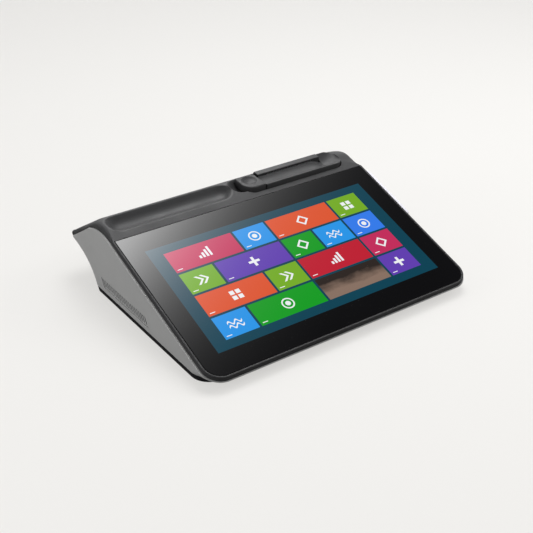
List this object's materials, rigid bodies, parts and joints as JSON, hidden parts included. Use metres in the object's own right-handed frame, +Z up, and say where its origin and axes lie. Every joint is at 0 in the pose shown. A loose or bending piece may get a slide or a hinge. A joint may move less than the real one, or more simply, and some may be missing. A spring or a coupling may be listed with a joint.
{
  "type": "counter terminal",
  "caption": "Wedge-shaped counter terminal with a sloped touch display, a receipt printer behind it, a card reader on the right side and sockets under the tail.",
  "frame": {"origin": "middle of the outer box, at the height of the feet's undersides", "axes": "+X to the right of a person at the display, +Y to the rear, +Z up"},
  "size_m": [0.3186, 0.2747, 0.0868],
  "materials": {
    "aluminium": "bare aluminium",
    "black": "matt black moulding",
    "board": "green circuit board",
    "brass": "turned brass",
    "charcoal": "fine-grained charcoal moulding",
    "chip": "black moulded case",
    "glass": "black-backed polished glass",
    "grey": "fine-grained mid-grey moulding",
    "nylon": "natural nylon",
    "panel": "lit picture behind the glass",
    "rubber": "matt rubber",
    "steel": "bare sheet steel"
  },
  "bodies": {
    "case": {"base_plate": "black", "base_screw_front_left": "steel", "base_screw_front_right": "steel", "base_screw_rear_left": "steel", "base_screw_rear_right": "steel", "card_reader_housing": "grey", "coin_cell": "steel", "data_sockets_left": "steel", "data_sockets_right": "steel", "display_bracket": "steel", "display_cable": "nylon", "door_hinge_pin": "steel", "drawer_socket": "steel", "feed_motor": "steel", "foot_front_left": "rubber", "foot_front_right": "rubber", "foot_rear_left": "rubber", "foot_rear_right": "rubber", "head_heat_sink": "aluminium", "head_spring_left": "steel", "head_spring_right": "steel", "heat_sink": "aluminium", "latch_pin": "steel", "lcd_panel": "panel", "magnetic_head": "steel", "main_board": "board", "main_housing": "grey", "memory_module": "board", "network_socket": "steel", "paper_bay": "black", "power_inlet": "chip", "power_switch": "chip", "print_head": "chip", "printer_bezel": "charcoal", "printer_frame": "steel", "processor": "chip", "radio_module": "steel", "release_spring": "steel", "serial_socket": "steel", "socket_panel": "steel", "speaker_left": "chip", "speaker_right": "chip", "storage_module": "board", "tear_bar": "steel", "top_cover": "charcoal", "touch_glass": "glass", "vent_grille_left": "grey", "vent_grille_right": "grey"},
    "door": {"printer_door": "charcoal", "platen_bushing_left": "nylon", "platen_bushing_right": "nylon"},
    "platen": {"platen_roller": "rubber", "platen_shaft": "steel", "platen_gear": "nylon"},
    "idler": {"idler_gear": "nylon"},
    "pinion": {"motor_pinion": "brass"},
    "release_key": {"release_button": "charcoal"},
    "latch": {"latch_hook": "steel"},
    "power_key": {"power_button": "charcoal"}
  },
  "joints": [
    {"name": "door_hinge", "type": "hinge", "parent": "case", "child": "door", "pos_m": [0.02475, 0.1093, 0.05809], "axis": [-1, 0, 0], "range_deg": [0, 75]},
    {"name": "platen_spin", "type": "hinge", "parent": "door", "child": "platen", "pos_m": [0.06475, 0.06826, 0.0763], "axis": [1, 0, 0], "continuous": true},
    {"name": "idler_spin", "type": "hinge", "parent": "case", "child": "idler", "pos_m": [0.09955, 0.06242, 0.06314], "axis": [1, 0, 0], "continuous": true},
    {"name": "motor_spin", "type": "hinge", "parent": "case", "child": "pinion", "pos_m": [0.09955, 0.0522, 0.05543], "axis": [1, 0, 0], "continuous": true},
    {"name": "release_press", "type": "slide", "parent": "case", "child": "release_key", "axis": [0, 0, -1], "range_m": [0, 0.0016], "stiffness_N_per_m": 500, "springref_m": -0.0006, "deforming": ["release_spring"]},
    {"name": "latch_turn", "type": "hinge", "parent": "case", "child": "latch", "pos_m": [0.02745, 0.06336, 0.05], "axis": [1, 0, 0], "range_deg": [0, 10]},
    {"name": "power_press", "type": "slide", "parent": "case", "child": "power_key", "axis": [-1, 0, 0], "range_m": [0, 0.0012], "stiffness_N_per_m": 600, "springref_m": -0.0004}
  ],
  "couplings": [
    {"joint": "idler_spin", "follows": "platen_spin", "ratio": -0.63636},
    {"joint": "motor_spin", "follows": "platen_spin", "ratio": 1.4},
    {"joint": "latch_turn", "follows": "release_press", "rad_per_m": 100}
  ]
}
